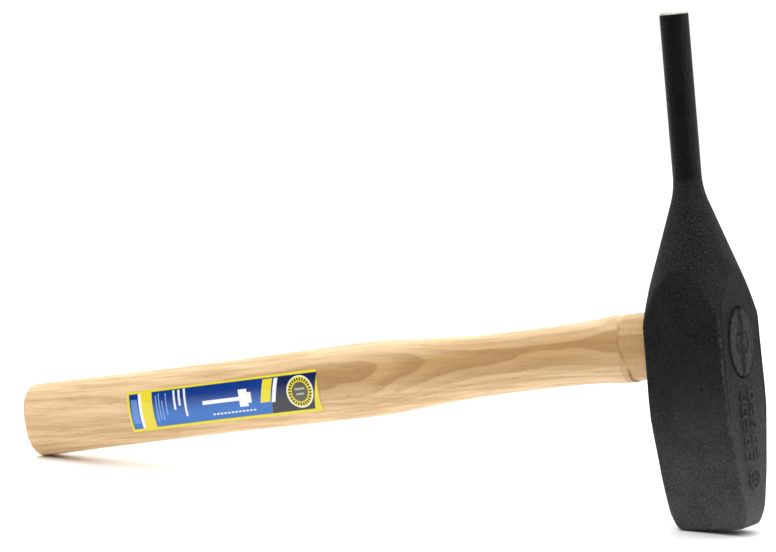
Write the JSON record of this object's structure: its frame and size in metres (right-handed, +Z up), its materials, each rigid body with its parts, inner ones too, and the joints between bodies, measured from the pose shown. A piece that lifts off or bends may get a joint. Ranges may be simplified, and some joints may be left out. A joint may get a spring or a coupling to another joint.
{
  "type": "round punch hammer",
  "caption": "Hand-held punch hammer: forged black head with a long round punch and a tapered poll, wedged on an oval wooden handle, resting on poll and butt.",
  "frame": {"origin": "on the floor under the centre of the hammer's box, as it rests on the poll's rear edge and the handle's butt", "axes": "+Z up; +X from the butt towards the head, and out of the eye's front; +Y to the left of someone looking along +X, so the labelled side faces -Y"},
  "size_m": [0.4776, 0.0444, 0.2668],
  "materials": {
    "head_paint": "satin black powder coat over forged steel, finely pebbled",
    "handle_wood": "pale straight-grained ash or hickory, clear satin lacquer",
    "wedge_wood": "wooden wedge, black paint over its end",
    "ring_steel": "steel ring wedge, black paint over its edge",
    "label_film": "thin glossy printed film, blue with yellow and white bars"
  },
  "bodies": {
    "root": {"head": "head_paint", "handle": "handle_wood", "wood_wedge": "wedge_wood", "ring_wedge": "ring_steel", "label": "label_film"}
  },
  "joints": []
}
